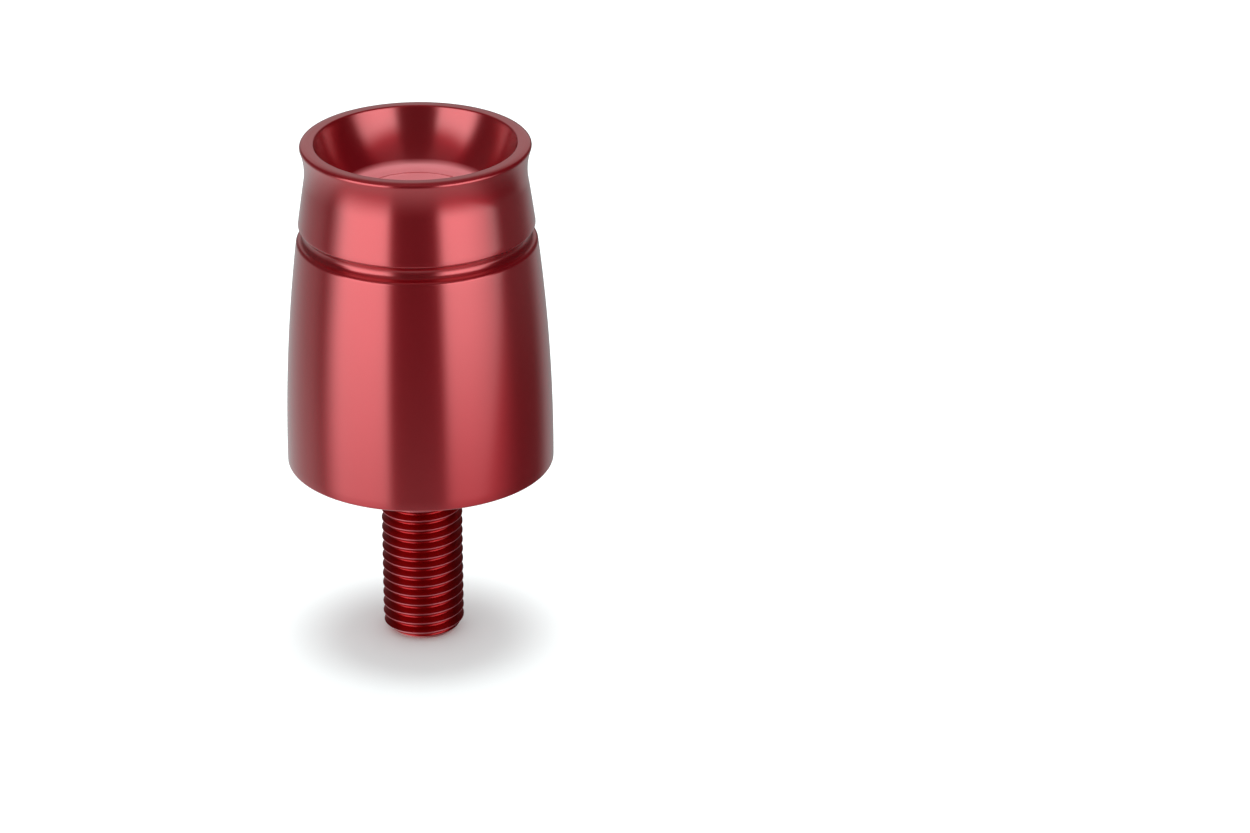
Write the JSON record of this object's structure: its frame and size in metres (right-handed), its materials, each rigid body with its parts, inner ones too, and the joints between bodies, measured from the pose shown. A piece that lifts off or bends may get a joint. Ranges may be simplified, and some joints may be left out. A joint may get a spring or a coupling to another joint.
{
  "type": "bar end weight",
  "caption": "Crowned round handlebar end weight with a grooved collar, a dished outer face with a hex socket, and a threaded stud.",
  "frame": {"origin": "on the turning axis, at the shoulder face that seats against the end of the bar", "axes": "+Z along the axis from the shoulder to the dished outer face, so the stud points along -Z; +X through a corner of the hex socket"},
  "size_m": [0.032, 0.032, 0.0632],
  "materials": {
    "anodised_aluminium": "satin red anodised, fine turned"
  },
  "bodies": {
    "root": {"bar_end_weight": "anodised_aluminium"}
  },
  "joints": []
}
